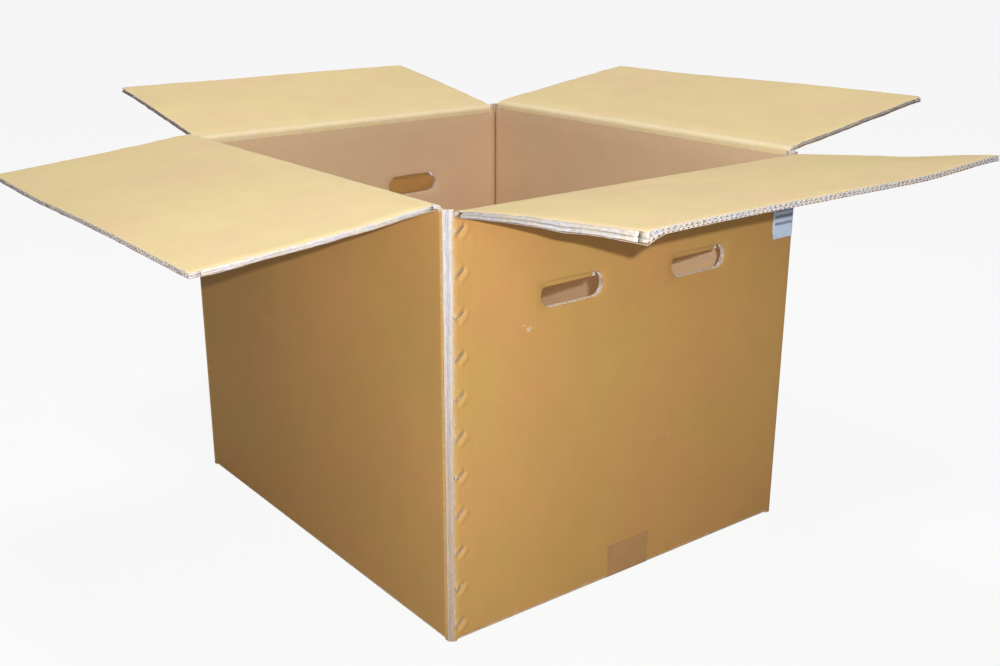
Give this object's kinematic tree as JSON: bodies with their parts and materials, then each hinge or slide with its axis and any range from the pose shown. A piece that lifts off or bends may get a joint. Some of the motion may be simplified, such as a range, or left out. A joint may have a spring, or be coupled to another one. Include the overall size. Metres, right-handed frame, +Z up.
{
  "type": "double wall corrugated box",
  "caption": "Large double wall corrugated box with a wire stitched corner joint, hand holes and hinged top flaps, shown open.",
  "frame": {"origin": "middle of the underside, on the bottom tape where it covers the seam of the outer bottom flaps", "axes": "+Z up, -Y out of the front panel with the stitched joint, -X out of the left panel, the bottom seam along Y"},
  "size_m": [1.194, 1.2727, 0.5984],
  "materials": {
    "kraft_outside": "matt brown kraft liner, slightly polished by handling",
    "kraft_inside": "matt pale straw liner with faint flute lines",
    "stitch_wire": "flat galvanised stitching wire",
    "tape_film": "brown packing tape, satin",
    "label_paper": "white adhesive paper label with plain ruled bars"
  },
  "bodies": {
    "box": {"box_body": "kraft_outside", "stitch_01": "stitch_wire", "stitch_02": "stitch_wire", "stitch_03": "stitch_wire", "stitch_04": "stitch_wire", "stitch_05": "stitch_wire", "stitch_06": "stitch_wire", "stitch_07": "stitch_wire", "stitch_08": "stitch_wire", "stitch_09": "stitch_wire", "stitch_10": "stitch_wire", "stitch_11": "stitch_wire", "bottom_tape": "tape_film", "corner_label": "label_paper"},
    "flap_front": {"top_flap_front": "kraft_inside"},
    "flap_back": {"top_flap_back": "kraft_inside"},
    "flap_left": {"top_flap_left": "kraft_inside"},
    "flap_right": {"top_flap_right": "kraft_inside"}
  },
  "joints": [
    {"name": "hinge_front", "type": "hinge", "parent": "box", "child": "flap_front", "pos_m": [0, -0.34, 0.54], "axis": [-1, 0, 0], "range_deg": [-85.7, 174.3]},
    {"name": "hinge_back", "type": "hinge", "parent": "box", "child": "flap_back", "pos_m": [0, 0.34, 0.54], "axis": [1, 0, 0], "range_deg": [-89.2, 170.8]},
    {"name": "hinge_left", "type": "hinge", "parent": "box", "child": "flap_left", "pos_m": [-0.3, 0, 0.5473], "axis": [0, 1, 0], "range_deg": [-74.6, 185.4]},
    {"name": "hinge_right", "type": "hinge", "parent": "box", "child": "flap_right", "pos_m": [0.3, 0, 0.5473], "axis": [0, -1, 0], "range_deg": [-88.5, 171.5]}
  ]
}
